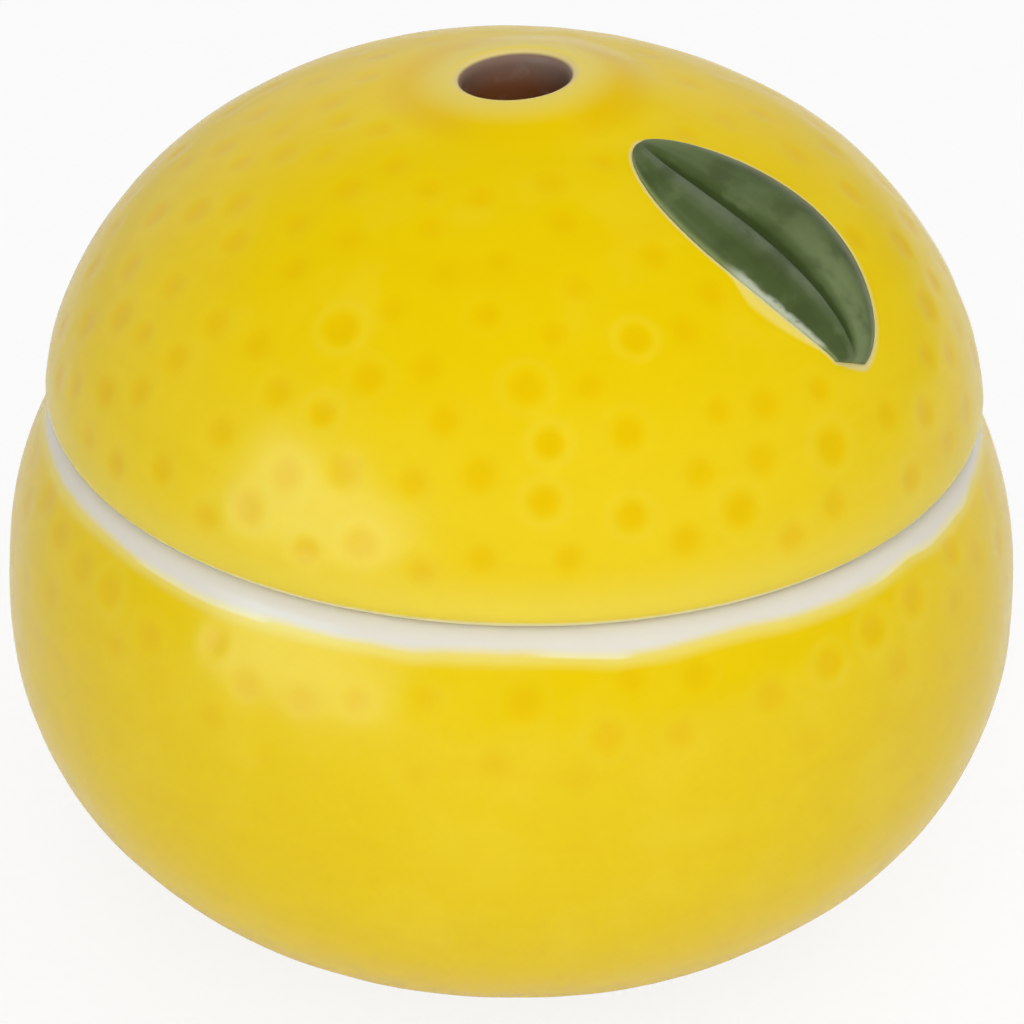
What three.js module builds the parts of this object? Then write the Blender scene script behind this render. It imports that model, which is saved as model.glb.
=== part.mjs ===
// A lidded bowl in the shape of a citrus fruit, slip-cast in glazed earthenware: a round bowl,
// a domed lid with a hole through its nub, and a leaf laid on the lid.
// Millimetres, +Z up. The origin is the centre of the foot ring, on the table.

import * as THREE from 'three';

// Bowl, outside
const BELLY_RADIUS = 60; // widest outer radius
const BELLY_HEIGHT = 40.2; // widest line above the table
const BELLY_FLAT = 14; // radius of the level part under the belly
const BELLY_LIFT = 1.5; // underside of the belly above the table
const LOWER_FULLNESS = 2.1; // 2 is an ellipse, more is squarer
const UPPER_RISE = 46.7; // semi-height of the curve above the widest line
const UPPER_FULLNESS = 2.36;
const RIM_HEIGHT = 66; // seat of the lid above the table
const RIM_ROUND = 3.5; // rounding between belly and seat
const SEAT_WIDTH = 2.2; // level ring that the lid stands on

// Bowl, inside and foot
const BOWL_WALL = 5;
const MOUTH_ROUND = 0.9; // rounding between seat and mouth
const FOOT_RADIUS = 30;
const FOOT_WIDTH = 4;
const FOOT_RECESS = 2; // hollow inside the foot ring

// Lid
const LID_OVERHANG = 3.6; // widest line of the dome outside the seat
const LID_RISE = 39.6; // top of the dome above the seat
const DOME_SINK = 1.5; // centre of the dome's curve below the seat
const LID_EDGE_ROUND = 2.2;
const LID_WALL = 4.5; // at the side
const LID_TOP_WALL = 6.5; // round the hole, so that it has a deep wall
const FLANGE_DROP = 7; // locating flange below the seat
const FLANGE_WALL = 3.5;
const FLANGE_ROUND = 1.2;
const FIT_CLEARANCE = 0.6; // flange to mouth, all round

// Nub and hole
const HOLE_RADIUS = 6;
const LIP_ROUND = 1.5; // rounding from the nub's crest into the hole
const NUB_RISE = 0.9; // crest above the dome
const NUB_SKIRT = 10; // slope from crest to dome

// Leaf
const LEAF_LENGTH = 33.9;
const LEAF_UPPER_WIDTH = 12; // from the leaf's axis to its fuller edge
const LEAF_LOWER_WIDTH = 6.8; // from the leaf's axis to its straighter edge
const LEAF_RIB_TIP = 0.36; // midrib at the tip, from the straighter edge (0) to the fuller one (1)
const LEAF_RIB_STALK = 0.47; // midrib at the stalk, the same way
const LEAF_STALK_WIDTH = 4;
const LEAF_STALK_SLANT = 1; // fuller side of the cut stalk end beyond its middle
const LEAF_STALK_OFFSET = 0.6; // middle of the cut stalk end towards the fuller side
const LEAF_EDGE = 0.5; // thickness at the edge and in the midrib's groove
const LEAF_PUFF = 1.3; // swell of each half above that
const LEAF_GAP = 0.3; // underside to lid
const LEAF_LATITUDE = 53.7; // degrees up the dome's curve
const LEAF_BEARING = -39.5; // degrees round the lid from +X
const LEAF_TURN = 2.1; // degrees from the slope line
const LEAF_MIDDLE = 15.8; // leaf's anchor point from its tip
const LEAF_SIDESTEP = 1; // leaf's anchor point off its axis

// Fineness of the curves
const TURN_STEPS = 64;
const LOWER_STEPS = 10;
const UPPER_STEPS = 6;
const DOME_STEPS = 12;
const NUB_STEPS = 6;
const ROUND_STEPS = 4;
const LEAF_ROWS = 22;
const LEAF_COLUMNS = 12;

const GLAZE = { color: 0xecd014, roughness: 0.18, metalness: 0 };
const LEAF_GLAZE = { color: 0x4f6538, roughness: 0.25, metalness: 0 };

const degrees = THREE.MathUtils.degToRad;

// Points of a full curve |x/a|^n + |z/b|^n = 1 about (x, z), from one angle to another.
function fullCurve(x, z, a, b, n, from, to, steps) {
  const points = [];
  for (let i = 0; i <= steps; i += 1) {
    const angle = THREE.MathUtils.lerp(from, to, i / steps);
    const c = Math.cos(angle);
    const s = Math.sin(angle);
    const across = Math.sign(c) * Math.abs(c) ** (2 / n);
    const up = Math.sign(s) * Math.abs(s) ** (2 / n);
    points.push(new THREE.Vector2(x + a * across, z + b * up));
  }
  return points;
}

function roundCorner(x, z, radius, from, to) {
  return fullCurve(x, z, radius, radius, 2, from, to, ROUND_STEPS);
}

// The value between low and high at which a rising function passes zero.
function solve(rising, low, high) {
  const HALVINGS = 50;
  for (let i = 0; i < HALVINGS; i += 1) {
    const middle = (low + high) / 2;
    if (rising(middle) > 0) high = middle;
    else low = middle;
  }
  return (low + high) / 2;
}

// A closed profile of radius and height, turned about the Z axis.
function turned(profile) {
  const closed = [...profile, profile[0].clone()];
  const geometry = new THREE.LatheGeometry(closed, TURN_STEPS);
  geometry.rotateX(Math.PI / 2);
  return geometry;
}

// Angle on a full curve of width a and fullness n at which it is `across` from its centre.
function angleAt(across, a, n) {
  return Math.acos((across / a) ** (n / 2));
}

// Where the rim's rounding leaves the belly, so that it ends level at the seat.
function rimOnBelly() {
  const at = (angle) => {
    const n = UPPER_FULLNESS;
    const [point] = fullCurve(0, BELLY_HEIGHT, BELLY_RADIUS, UPPER_RISE, n, angle, angle, 1);
    const outward = (point.x / BELLY_RADIUS) ** (n - 1) / BELLY_RADIUS;
    const upward = ((point.y - BELLY_HEIGHT) / UPPER_RISE) ** (n - 1) / UPPER_RISE;
    const lean = Math.atan2(upward, outward);
    return { angle, point, lean, top: point.y + RIM_ROUND * (1 - Math.sin(lean)) };
  };
  return at(solve((angle) => at(angle).top - RIM_HEIGHT, 0, Math.PI / 2));
}

const rim = rimOnBelly();
const seatOuter = rim.point.x - RIM_ROUND * Math.cos(rim.lean);
const seatInner = seatOuter - SEAT_WIDTH;
const mouthRadius = seatInner - MOUTH_ROUND;

function bowlProfile() {
  const lowerReach = BELLY_RADIUS - BELLY_FLAT;
  const lowerDrop = BELLY_HEIGHT - BELLY_LIFT;
  const footAngle = -angleAt(FOOT_RADIUS - BELLY_FLAT, lowerReach, LOWER_FULLNESS);
  const mouthAngle = angleAt(mouthRadius, BELLY_RADIUS - BOWL_WALL, UPPER_FULLNESS);
  const rimZ = RIM_HEIGHT - RIM_ROUND;
  return [
    new THREE.Vector2(0, FOOT_RECESS),
    new THREE.Vector2(FOOT_RADIUS - FOOT_WIDTH, FOOT_RECESS),
    new THREE.Vector2(FOOT_RADIUS - FOOT_WIDTH, 0),
    new THREE.Vector2(FOOT_RADIUS, 0),
    ...fullCurve(BELLY_FLAT, BELLY_HEIGHT, lowerReach, lowerDrop, LOWER_FULLNESS,
      footAngle, 0, LOWER_STEPS),
    ...fullCurve(0, BELLY_HEIGHT, BELLY_RADIUS, UPPER_RISE, UPPER_FULLNESS,
      0, rim.angle, UPPER_STEPS).slice(1),
    ...roundCorner(seatOuter, rimZ, RIM_ROUND, rim.lean, Math.PI / 2).slice(1),
    ...roundCorner(seatInner, RIM_HEIGHT - MOUTH_ROUND, MOUTH_ROUND, Math.PI / 2, Math.PI),
    ...fullCurve(0, BELLY_HEIGHT, BELLY_RADIUS - BOWL_WALL, UPPER_RISE - BOWL_WALL,
      UPPER_FULLNESS, mouthAngle, 0, UPPER_STEPS),
    ...fullCurve(BELLY_FLAT, BELLY_HEIGHT, lowerReach - BOWL_WALL, lowerDrop - BOWL_WALL,
      LOWER_FULLNESS, 0, -Math.PI / 2, LOWER_STEPS).slice(1),
    new THREE.Vector2(0, BELLY_LIFT + BOWL_WALL),
  ];
}

// The lid's own frame has its seat at z = 0.
const domeRadius = seatOuter + LID_OVERHANG;
const domeHeight = LID_RISE + DOME_SINK;
const crestRadius = HOLE_RADIUS + LIP_ROUND;

function domeZ(radius) {
  return domeHeight * Math.sqrt(1 - (radius / domeRadius) ** 2) - DOME_SINK;
}

// How far the nub's slope stands above the dome.
function nubRise(radius) {
  const share = 1 - (radius - crestRadius) / NUB_SKIRT;
  return NUB_RISE * THREE.MathUtils.smoothstep(share, 0, 1);
}

// Where the lid's rounded edge leaves the dome, so that it ends level at the seat.
function edgeOnDome() {
  const at = (angle) => {
    const lean = Math.atan2(domeRadius * Math.sin(angle), domeHeight * Math.cos(angle));
    const x = domeRadius * Math.cos(angle) - LID_EDGE_ROUND * Math.cos(lean);
    const z = domeHeight * Math.sin(angle) - DOME_SINK - LID_EDGE_ROUND * Math.sin(lean);
    return { angle, lean, x, z };
  };
  return at(solve((angle) => at(angle).z - LID_EDGE_ROUND, 0, Math.PI / 2));
}

function lidProfile() {
  const edge = edgeOnDome();
  const flangeOuter = mouthRadius - FIT_CLEARANCE;
  const flangeInner = flangeOuter - FLANGE_WALL;
  const baseRadius = crestRadius + NUB_SKIRT;
  const nub = [];
  for (let i = 1; i <= NUB_STEPS; i += 1) {
    const radius = THREE.MathUtils.lerp(baseRadius, crestRadius, i / NUB_STEPS);
    nub.push(new THREE.Vector2(radius, domeZ(radius) + nubRise(radius)));
  }
  const lipZ = domeZ(crestRadius) + NUB_RISE - LIP_ROUND;
  const innerRadius = domeRadius - LID_WALL;
  const innerHeight = domeHeight - LID_TOP_WALL;
  const shelfAngle = Math.asin((LID_WALL + DOME_SINK) / innerHeight);
  return [
    ...roundCorner(flangeOuter - FLANGE_ROUND, FLANGE_ROUND - FLANGE_DROP, FLANGE_ROUND,
      -Math.PI / 2, 0),
    new THREE.Vector2(flangeOuter, 0),
    ...roundCorner(edge.x, LID_EDGE_ROUND, LID_EDGE_ROUND, -Math.PI / 2, edge.lean),
    ...fullCurve(0, -DOME_SINK, domeRadius, domeHeight, 2,
      edge.angle, angleAt(baseRadius, domeRadius, 2), DOME_STEPS).slice(1),
    ...nub,
    ...roundCorner(crestRadius, lipZ, LIP_ROUND, Math.PI / 2, Math.PI).slice(1),
    ...fullCurve(0, -DOME_SINK, innerRadius, innerHeight, 2,
      angleAt(HOLE_RADIUS, innerRadius, 2), shelfAngle, DOME_STEPS),
    new THREE.Vector2(flangeInner + FLANGE_ROUND, LID_WALL),
    ...roundCorner(flangeInner + FLANGE_ROUND, LID_WALL - FLANGE_ROUND, FLANGE_ROUND,
      Math.PI / 2, Math.PI).slice(1),
    new THREE.Vector2(flangeInner, -FLANGE_DROP),
  ];
}

// The leaf's outline at a share of its length from its rounded tip.
function leafEdges(share) {
  const UPPER_SKEW = 1.28;
  const UPPER_BLUNTNESS = 0.46;
  const LOWER_SKEW = 0.75;
  const LOWER_BLUNTNESS = 0.66;
  const SLANT_SPREAD = 6;
  const stalk = (side) => (LEAF_STALK_WIDTH / 2 + side * LEAF_STALK_OFFSET) * share ** 2;
  const swell = (skew, bluntness) => {
    const rise = Math.sin(Math.PI * share ** skew);
    return Math.max(rise, 0) ** bluntness;
  };
  const upper = Math.hypot(LEAF_UPPER_WIDTH * swell(UPPER_SKEW, UPPER_BLUNTNESS), stalk(1));
  const lower = -Math.hypot(LEAF_LOWER_WIDTH * swell(LOWER_SKEW, LOWER_BLUNTNESS), stalk(-1));
  const ribAt = THREE.MathUtils.lerp(LEAF_RIB_TIP, LEAF_RIB_STALK, share);
  const rib = THREE.MathUtils.lerp(lower, upper, ribAt);
  return { upper, lower, rib, slant: LEAF_STALK_SLANT * share ** SLANT_SPREAD };
}

// The leaf as rows of points across it, top and underside, laid on the dome.
function leafGeometry() {
  const latitude = degrees(LEAF_LATITUDE);
  const bearing = degrees(LEAF_BEARING);
  const round = domeRadius * Math.cos(latitude);
  const anchor = new THREE.Vector3(
    round * Math.cos(bearing),
    round * Math.sin(bearing),
    domeHeight * Math.sin(latitude) - DOME_SINK,
  );
  const domeScale = new THREE.Vector3(domeRadius, domeRadius, domeHeight);
  const domeNormal = (point) => {
    const normal = point.clone();
    normal.z += DOME_SINK;
    return normal.divide(domeScale).divide(domeScale).normalize();
  };
  const outward = domeNormal(anchor);
  const level = new THREE.Vector3(-Math.sin(bearing), Math.cos(bearing), 0);
  const turn = degrees(LEAF_TURN);
  const along = level.clone().cross(outward).applyAxisAngle(outward, turn);
  const across = level.clone().applyAxisAngle(outward, turn);

  // The dome under a point of the leaf's flat outline, dropped along the anchor's normal.
  const onDome = (length, width) => {
    const flat = anchor.clone()
      .addScaledVector(along, length - LEAF_MIDDLE)
      .addScaledVector(across, width - LEAF_SIDESTEP);
    const from = flat.clone();
    from.z += DOME_SINK;
    from.divide(domeScale);
    const step = outward.clone().divide(domeScale);
    const a = step.lengthSq();
    const b = from.dot(step);
    const c = from.lengthSq() - 1;
    return flat.addScaledVector(outward, (Math.sqrt(b * b - a * c) - b) / a);
  };

  // Rows lie closer together towards the tip and the stalk.
  const positions = [];
  const TIP_SHARE = 0.01;
  const rowShare = (i) => {
    const eased = (1 - Math.cos((Math.PI * i) / LEAF_ROWS)) / 2;
    return THREE.MathUtils.lerp(TIP_SHARE, 1, eased);
  };
  const pushLayer = (thickness) => {
    for (let i = 0; i <= LEAF_ROWS; i += 1) {
      const share = rowShare(i);
      const { upper, lower, rib, slant } = leafEdges(share);
      for (let j = 0; j <= LEAF_COLUMNS; j += 1) {
        const side = (2 * j) / LEAF_COLUMNS - 1;
        const width = THREE.MathUtils.lerp(rib, side > 0 ? upper : lower, Math.abs(side));
        const point = onDome(share * LEAF_LENGTH + slant * side, width);
        const lift = LEAF_GAP + nubRise(Math.hypot(point.x, point.y));
        point.addScaledVector(domeNormal(point), lift + thickness(share, Math.abs(side)));
        positions.push(point.x, point.y, point.z);
      }
    }
  };
  pushLayer(() => 0);
  pushLayer((share, side) => {
    const fading = Math.sqrt(Math.max(Math.sin(Math.PI * share), 0));
    return LEAF_EDGE + LEAF_PUFF * fading * Math.sin(Math.PI * side);
  });

  // Faces of the two layers, and the side wall between them along the outline.
  const rowLength = LEAF_COLUMNS + 1;
  const layer = rowLength * (LEAF_ROWS + 1);
  const index = [];
  const quad = (a, b, c, d) => index.push(a, b, c, a, c, d);
  for (let i = 0; i < LEAF_ROWS; i += 1) {
    for (let j = 0; j < LEAF_COLUMNS; j += 1) {
      const corner = i * rowLength + j;
      const next = corner + rowLength;
      quad(corner, corner + 1, next + 1, next);
      quad(layer + corner, layer + next, layer + next + 1, layer + corner + 1);
    }
  }
  const outline = [];
  for (let j = 0; j < LEAF_COLUMNS; j += 1) outline.push(j);
  for (let i = 0; i < LEAF_ROWS; i += 1) outline.push(i * rowLength + LEAF_COLUMNS);
  for (let j = LEAF_COLUMNS; j > 0; j -= 1) outline.push(LEAF_ROWS * rowLength + j);
  for (let i = LEAF_ROWS; i > 0; i -= 1) outline.push(i * rowLength);
  outline.forEach((from, k) => {
    const to = outline[(k + 1) % outline.length];
    quad(from, layer + from, layer + to, to);
  });
  const geometry = new THREE.BufferGeometry();
  geometry.setAttribute('position', new THREE.Float32BufferAttribute(positions, 3));
  geometry.setIndex(index);
  geometry.computeVertexNormals();
  return geometry;
}

function piece(name, geometry, finish) {
  const mesh = new THREE.Mesh(geometry, new THREE.MeshStandardMaterial(finish));
  mesh.name = name;
  return mesh;
}

const lidGroup = new THREE.Group();
lidGroup.position.z = RIM_HEIGHT;
lidGroup.add(piece('lid', turned(lidProfile()), GLAZE));
lidGroup.add(piece('leaf', leafGeometry(), LEAF_GLAZE));

const liddedBowl = new THREE.Group();
liddedBowl.add(piece('bowl', turned(bowlProfile()), GLAZE));
liddedBowl.add(lidGroup);

export default liddedBowl;
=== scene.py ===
# %% [markdown]
# # A lidded bowl shaped like a citrus fruit
# The real object is slip-cast earthenware under a glossy yellow glaze: a round bowl, a domed lid
# with a hole through its nub, and a green leaf in relief on the lid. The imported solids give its
# sizes and the joint that lifts the lid. This lesson gives it the surface that the eye sees:
# dimpled peel, pooled glaze, a white rim and a painted leaf.

# %% Load the frame
import bisect
import math
import random

import bmesh
import bpy
from mathutils import Matrix, Vector
from mathutils.kdtree import KDTree


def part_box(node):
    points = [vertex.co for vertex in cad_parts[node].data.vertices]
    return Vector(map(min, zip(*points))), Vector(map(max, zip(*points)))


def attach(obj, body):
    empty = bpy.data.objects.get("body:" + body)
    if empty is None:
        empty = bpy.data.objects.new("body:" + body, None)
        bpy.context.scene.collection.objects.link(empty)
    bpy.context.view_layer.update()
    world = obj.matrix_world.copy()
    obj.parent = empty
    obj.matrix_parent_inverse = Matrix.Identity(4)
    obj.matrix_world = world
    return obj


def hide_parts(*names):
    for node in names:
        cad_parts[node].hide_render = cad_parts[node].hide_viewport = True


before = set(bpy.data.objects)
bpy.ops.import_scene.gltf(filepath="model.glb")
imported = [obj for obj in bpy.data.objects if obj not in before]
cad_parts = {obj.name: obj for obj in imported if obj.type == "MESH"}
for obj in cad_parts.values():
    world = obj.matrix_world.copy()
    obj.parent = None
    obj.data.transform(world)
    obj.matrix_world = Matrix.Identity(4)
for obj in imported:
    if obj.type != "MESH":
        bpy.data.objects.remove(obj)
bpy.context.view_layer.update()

MM = 0.001

# %% [markdown]
# ## Sizes from the frame
# The frame is the one place where the sizes of the object are kept, so the main ones are read from
# the boxes of its nodes. The curves between them repeat the values of the solids, in millimetres.

# %% Read the main sizes
BELLY_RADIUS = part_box("bowl")[1][0] / MM
SEAT_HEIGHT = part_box("bowl")[1][2] / MM
FLANGE_DROP = SEAT_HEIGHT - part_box("lid")[0][2] / MM
print(f"belly radius {BELLY_RADIUS:.2f}, seat height {SEAT_HEIGHT:.2f}, flange {FLANGE_DROP:.2f} mm")

# %% [markdown]
# ## Sections
# A slip-cast pot is a turned shape, so half of its section says everything about it. A section is a
# list of (radius, height) points. The belly is a full curve, an ellipse that is slightly squared,
# and every corner is rounded, because glaze never leaves a sharp edge.

# %% Curves for sections
CURVE_STEPS = 160
CORNER_STEPS = 24
REPEAT_GAP = 0.02  # points closer than this count as one


def full_curve(x, z, a, b, n, start, end, steps=CURVE_STEPS):
    """Points of |x/a|^n + |z/b|^n = 1 about (x, z), from one angle in degrees to another."""
    points = []
    for i in range(steps + 1):
        angle = math.radians(start + (end - start) * i / steps)
        across = math.copysign(abs(math.cos(angle)) ** (2 / n), math.cos(angle))
        up = math.copysign(abs(math.sin(angle)) ** (2 / n), math.sin(angle))
        points.append((x + a * across, z + b * up))
    return points


def corner(x, z, radius, start, end):
    """A round corner about (x, z), from one angle in degrees to another."""
    return full_curve(x, z, radius, radius, 2, start, end, CORNER_STEPS)


def angle_at(across, a, n):
    """The angle, in degrees, at which a full curve of width a is `across` from its centre."""
    return math.degrees(math.acos((across / a) ** (n / 2)))


def walk(points, step):
    """The same line with points about `step` apart, and its two ends kept."""
    lengths = [0.0]
    for (x0, z0), (x1, z1) in zip(points, points[1:]):
        lengths.append(lengths[-1] + math.hypot(x1 - x0, z1 - z0))
    count = max(1, round(lengths[-1] / step))
    spaced = []
    k = 0
    for i in range(count + 1):
        target = lengths[-1] * i / count
        while k < len(points) - 2 and lengths[k + 1] < target:
            k += 1
        share = (target - lengths[k]) / (lengths[k + 1] - lengths[k])
        (x0, z0), (x1, z1) = points[k], points[k + 1]
        spaced.append((x0 + (x1 - x0) * share, z0 + (z1 - z0) * share))
    return spaced


def joined(*lines):
    """Lines end to end, without the points that repeat."""
    section = []
    for point in (p for line in lines for p in line):
        if not section or math.dist(point, section[-1]) > REPEAT_GAP:
            section.append(point)
    return section

# %% [markdown]
# ### The bowl's section
# It starts on the axis under the foot, goes out over the foot ring, up the belly, over the rounded
# rim, across the level seat of the lid, and down the inside. The peel will carry dimples about 4 mm
# wide, so its points lie close together, and the plain inside has fewer.

# %% Where the bowl's rim starts
BELLY_HEIGHT = 40.2  # widest line above the table
UPPER_RISE = 46.7  # semi-height of the curve above the widest line
UPPER_FULLNESS = 2.36  # 2 is an ellipse, more is squarer
RIM_ROUND = 3.5  # rounding between belly and seat
HALVINGS = 50  # of the range that holds the angle sought


def rim_on_belly():
    """Angle, point and lean of the belly where the rim's rounding starts and still ends at the seat."""
    low, high = 0.0, 90.0
    for _ in range(HALVINGS):
        angle = (low + high) / 2
        x, z = full_curve(0, 0, BELLY_RADIUS, UPPER_RISE, UPPER_FULLNESS, angle, angle, 1)[0]
        outward = (x / BELLY_RADIUS) ** (UPPER_FULLNESS - 1) / BELLY_RADIUS
        upward = (z / UPPER_RISE) ** (UPPER_FULLNESS - 1) / UPPER_RISE
        lean = math.atan2(upward, outward)
        if BELLY_HEIGHT + z + RIM_ROUND * (1 - math.sin(lean)) > SEAT_HEIGHT:
            high = angle
        else:
            low = angle
    return angle, x - RIM_ROUND * math.cos(lean), math.degrees(lean)


rim_angle, seat_outer, rim_lean = rim_on_belly()
print(f"the rim's rounding starts where the belly leans by {rim_lean:.1f} degrees")

# %% [markdown]
# With the rim found, the lines of the section follow one after another, and each is given points at
# the spacing that its surface needs.

# %% The bowl's section
PEEL_ROW = 0.68  # spacing of points on the peel
ROUND_ROW = 0.45  # on rounded edges
FOOT_ROW = 1.35  # on the foot ring
PLAIN_ROW = 2.6  # on the plain inside
BELLY_FLAT = 14.0  # radius of the level part under the belly
BELLY_LIFT = 1.5  # underside of the belly above the table
LOWER_FULLNESS = 2.1
SEAT_WIDTH = 2.2  # level ring that the lid stands on
BOWL_WALL = 5.0
MOUTH_ROUND = 0.9  # rounding between seat and mouth
FOOT_RADIUS = 30.0
FOOT_WIDTH = 4.0
FOOT_RECESS = 2.0  # hollow inside the foot ring
FOOT_ROUND = 0.9

seat_inner = seat_outer - SEAT_WIDTH
mouth_radius = seat_inner - MOUTH_ROUND
lower_reach = BELLY_RADIUS - BELLY_FLAT
lower_drop = BELLY_HEIGHT - BELLY_LIFT
foot_angle = -angle_at(FOOT_RADIUS - BELLY_FLAT, lower_reach, LOWER_FULLNESS)
mouth_angle = angle_at(mouth_radius, BELLY_RADIUS - BOWL_WALL, UPPER_FULLNESS)
foot_inner = FOOT_RADIUS - FOOT_WIDTH

foot_line = joined(
    [(0, FOOT_RECESS), (foot_inner / 2, FOOT_RECESS)],
    corner(foot_inner - FOOT_ROUND, FOOT_RECESS - FOOT_ROUND, FOOT_ROUND, 90, 0),
    corner(foot_inner + FOOT_ROUND, FOOT_ROUND, FOOT_ROUND, 180, 270),
    corner(FOOT_RADIUS - FOOT_ROUND, FOOT_ROUND, FOOT_ROUND, 270, 360),
)
belly_line = joined(
    full_curve(BELLY_FLAT, BELLY_HEIGHT, lower_reach, lower_drop, LOWER_FULLNESS, foot_angle, 0),
    full_curve(0, BELLY_HEIGHT, BELLY_RADIUS, UPPER_RISE, UPPER_FULLNESS, 0, rim_angle),
)
rim_line = joined(
    corner(seat_outer, SEAT_HEIGHT - RIM_ROUND, RIM_ROUND, rim_lean, 90),
    corner(seat_inner, SEAT_HEIGHT - MOUTH_ROUND, MOUTH_ROUND, 90, 180),
)
hollow_line = joined(
    full_curve(0, BELLY_HEIGHT, BELLY_RADIUS - BOWL_WALL, UPPER_RISE - BOWL_WALL, UPPER_FULLNESS,
               mouth_angle, 0),
    full_curve(BELLY_FLAT, BELLY_HEIGHT, lower_reach - BOWL_WALL, lower_drop - BOWL_WALL,
               LOWER_FULLNESS, 0, -90),
    [(0, BELLY_LIFT + BOWL_WALL)],
)
bowl_section = joined(
    walk(foot_line, FOOT_ROW),
    walk(belly_line, PEEL_ROW),
    walk(rim_line, ROUND_ROW),
    walk(hollow_line, PLAIN_ROW),
)
print(f"bowl section: {len(bowl_section)} points, seat {seat_inner:.2f} to {seat_outer:.2f} mm")

# %% [markdown]
# ### The lid's section
# The lid has a hole through it, so its section closes on itself and never meets the axis. It runs
# from the seat round the edge, up the dome, over the low nub and its soft lip, down the hole, under
# the dome and round the flange that keeps the lid in the bowl's mouth.

# %% The lid's dome and nub
LID_OVERHANG = 3.6  # widest line of the dome outside the seat
LID_RISE = 39.6  # top of the dome above the seat
DOME_SINK = 1.5  # centre of the dome's curve below the seat
LID_EDGE_ROUND = 2.2
HOLE_RADIUS = 6.0
LIP_ROUND = 1.5  # rounding from the nub's crest into the hole
NUB_RISE = 0.9  # crest above the dome
NUB_SKIRT = 10.0  # slope from crest to dome

dome_radius = seat_outer + LID_OVERHANG
dome_height = LID_RISE + DOME_SINK
dome_centre = SEAT_HEIGHT - DOME_SINK
crest_radius = HOLE_RADIUS + LIP_ROUND
nub_base = crest_radius + NUB_SKIRT


def fading(value, start, end):
    """0 at start, 1 at end, and a soft slope between."""
    share = min(1.0, max(0.0, (value - start) / (end - start)))
    return share * share * (3 - 2 * share)


def dome_lean(angle):
    """Direction of the dome's outward normal at an angle of its curve, both in radians."""
    return math.atan2(dome_radius * math.sin(angle), dome_height * math.cos(angle))


def edge_on_dome():
    """Angle on the dome, in radians, where the edge's rounding starts and still ends at the seat."""
    low, high = 0.0, math.pi / 2
    for _ in range(HALVINGS):
        angle = (low + high) / 2
        middle = dome_height * math.sin(angle) - LID_EDGE_ROUND * math.sin(dome_lean(angle))
        if middle - DOME_SINK > LID_EDGE_ROUND:
            high = angle
        else:
            low = angle
    return angle


def on_nub(radius):
    """Height of the lid's outside at a radius, with the nub on the dome."""
    dome = dome_centre + dome_height * math.sqrt(1 - (radius / dome_radius) ** 2)
    return dome + NUB_RISE * fading(radius, nub_base, crest_radius)


crest = on_nub(crest_radius)
print(f"dome {dome_radius:.2f} mm in radius, crest of the nub at {crest:.2f} mm")

# %% [markdown]
# The inside of the dome runs down to a level shelf, and the flange hangs from there with a clearance
# to the bowl's mouth.

# %% The lid's section
DOME_ROW = 0.612  # spacing of points on the dome
UNDER_ROW = 1.82  # and under it
LID_WALL = 4.5  # at the side
LID_TOP_WALL = 6.5  # round the hole
FLANGE_WALL = 3.5
FLANGE_ROUND = 1.2
FIT_CLEARANCE = 0.6  # flange to mouth, all round
NUB_STEPS = 40

edge_angle = edge_on_dome()
edge_x = dome_radius * math.cos(edge_angle) - LID_EDGE_ROUND * math.cos(dome_lean(edge_angle))
flange_outer = mouth_radius - FIT_CLEARANCE
flange_inner = flange_outer - FLANGE_WALL
under_radius = dome_radius - LID_WALL
under_height = dome_height - LID_TOP_WALL
shelf_height = SEAT_HEIGHT + LID_WALL
shelf_angle = math.degrees(math.asin((LID_WALL + DOME_SINK) / under_height))
flange_foot = SEAT_HEIGHT - FLANGE_DROP

edge_line = corner(edge_x, SEAT_HEIGHT + LID_EDGE_ROUND, LID_EDGE_ROUND, -90,
                   math.degrees(dome_lean(edge_angle)))
dome_line = full_curve(0, dome_centre, dome_radius, dome_height, 2, math.degrees(edge_angle),
                       angle_at(nub_base, dome_radius, 2))
nub_line = joined(
    [(r, on_nub(r)) for r in (nub_base - NUB_SKIRT * i / NUB_STEPS for i in range(NUB_STEPS + 1))],
    corner(crest_radius, crest - LIP_ROUND, LIP_ROUND, 90, 180),
)
under_line = joined(
    full_curve(0, dome_centre, under_radius, under_height, 2,
               angle_at(HOLE_RADIUS, under_radius, 2), shelf_angle),
    corner(flange_inner + FLANGE_ROUND, shelf_height - FLANGE_ROUND, FLANGE_ROUND, 90, 180),
    corner(flange_inner + FLANGE_ROUND, flange_foot + FLANGE_ROUND, FLANGE_ROUND, 180, 270),
    corner(flange_outer - FLANGE_ROUND, flange_foot + FLANGE_ROUND, FLANGE_ROUND, 270, 360),
    [(flange_outer, SEAT_HEIGHT)],
)
hole_wall = [nub_line[-1], under_line[0]]
lid_section = joined(
    walk(edge_line, ROUND_ROW),
    walk(dome_line, DOME_ROW),
    walk(nub_line, ROUND_ROW),
    walk(hole_wall, ROUND_ROW),
    walk(under_line, UNDER_ROW),
)
print(f"lid section: {len(lid_section)} points, flange {flange_inner:.2f} to {flange_outer:.2f} mm")

# %% [markdown]
# ## Turning the sections
# A potter's wheel makes the whole from a section. One vertex is extruded from point to point along
# it, and a Screw modifier then turns that line once round Z: it does what Spin does and is much
# quicker on a fine line. Where the line meets the axis, and where the turn closes, double vertices
# are left, so these are merged, and then the normals are made to point outwards.

# %% Turn a section
TURNS = 450
DOUBLES_GAP = 0.004


def only(piece):
    """Make one object the active and only selected one."""
    bpy.ops.object.select_all(action="DESELECT")
    piece.select_set(True)
    bpy.context.view_layer.objects.active = piece


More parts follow.
